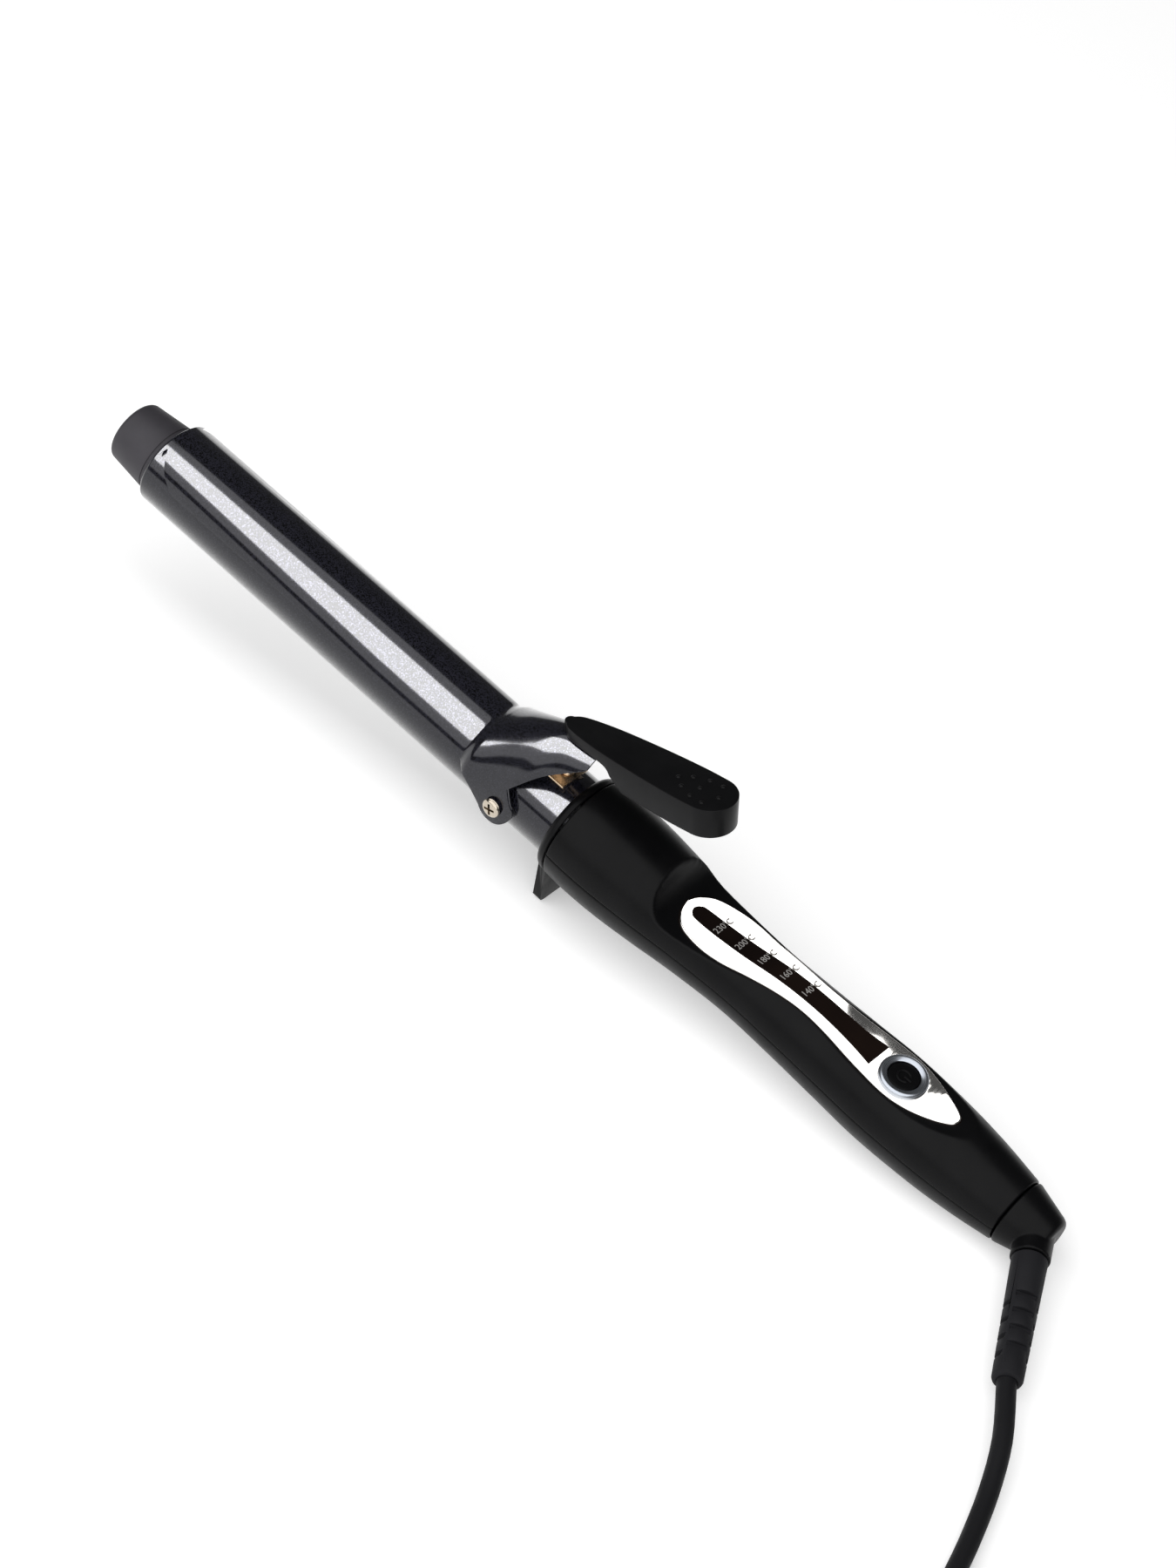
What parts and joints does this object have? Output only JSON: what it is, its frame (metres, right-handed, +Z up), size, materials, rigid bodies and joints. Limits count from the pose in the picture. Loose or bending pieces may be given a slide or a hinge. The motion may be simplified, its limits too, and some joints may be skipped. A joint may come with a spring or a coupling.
{
  "type": "curling iron",
  "caption": "Curling iron with a heated round barrel, a sprung clip worked by a thumb lever, a foot, a handle with a control panel and a swivel cord.",
  "frame": {"origin": "middle of the iron's box, without the cord, at the height of the surface it stands on", "axes": "+X along the iron towards the cord end, +Z up, tip raised 6.6 degrees as it stands on its foot"},
  "size_m": [0.5438, 0.2023, 0.0795],
  "materials": {
    "gloss_black": "gloss black coating with fine silver flakes",
    "matte_grey": "matte dark grey heat-proof plastic",
    "soft_black": "fine matte soft-touch plastic",
    "chrome": "mirror chrome plating",
    "brushed": "concentric brushed metal",
    "nickel": "bright nickel plate",
    "brass": "bright brass plate",
    "dark_window": "dark brown gloss window",
    "rubber": "matte dark grey rubber",
    "aluminium": "extruded aluminium",
    "ceramic": "pale ceramic",
    "board_green": "solder mask",
    "copper": "copper"
  },
  "bodies": {
    "root": {"barrel_tube": "gloss_black", "cool_tip": "matte_grey", "ptc_heater": "ceramic", "heat_spreader_upper": "aluminium", "heat_spreader_lower": "aluminium", "thermistor": "copper", "pivot_insert": "nickel", "pivot_screw_left": "nickel", "pivot_screw_right": "nickel", "pivot_bush_left": "brass", "pivot_bush_right": "brass", "clip_spring": "brass", "spring_screw": "nickel", "stand_collar": "soft_black", "handle_upper": "soft_black", "handle_lower": "soft_black", "handle_screw_front": "nickel", "handle_screw_rear": "nickel", "barrel_insulator": "ceramic", "panel_trim": "chrome", "display_window": "dark_window", "button_bezel": "brushed", "tact_switch": "soft_black", "control_board": "board_green", "indicator_led_230": "ceramic", "indicator_led_200": "ceramic", "indicator_led_180": "ceramic", "indicator_led_160": "ceramic", "indicator_led_140": "ceramic", "heater_lead_live": "copper", "heater_lead_neutral": "copper", "thermistor_lead": "copper", "supply_lead_live": "copper", "supply_lead_neutral": "copper", "slip_ring_base": "ceramic", "slip_ring_inner": "copper", "slip_ring_outer": "copper", "cord": "rubber", "cord_tail": "rubber", "cord_coil": "rubber", "cord_tie": "rubber", "plug_body": "rubber", "plug_pin_left": "brass", "plug_pin_right": "brass"},
    "clamp": {"clamp_plate": "gloss_black", "thumb_lever": "soft_black", "lever_screw_front": "nickel", "lever_screw_rear": "nickel"},
    "button": {"power_button": "soft_black"},
    "swivel": {"swivel_cap": "soft_black", "strain_relief": "rubber", "brush_inner": "copper", "brush_outer": "copper"}
  },
  "joints": [
    {"name": "clamp_hinge", "type": "hinge", "parent": "root", "child": "clamp", "pos_m": [-0.01975, 0, 0.03399], "axis": [0, 1, 0], "range_deg": [0, 18], "stiffness_Nm_per_rad": 0.6, "springref_deg": -17.19, "deforming": ["clip_spring"]},
    {"name": "button_press", "type": "slide", "parent": "root", "child": "button", "axis": [-0.1149, 0, -0.9934], "range_m": [0, 0.0008], "stiffness_N_per_m": 1500, "springref_m": -0.0005},
    {"name": "cord_swivel", "type": "hinge", "parent": "root", "child": "swivel", "pos_m": [0.17604, 0, 0.01134], "axis": [0.9934, 0, -0.1149], "continuous": true}
  ]
}
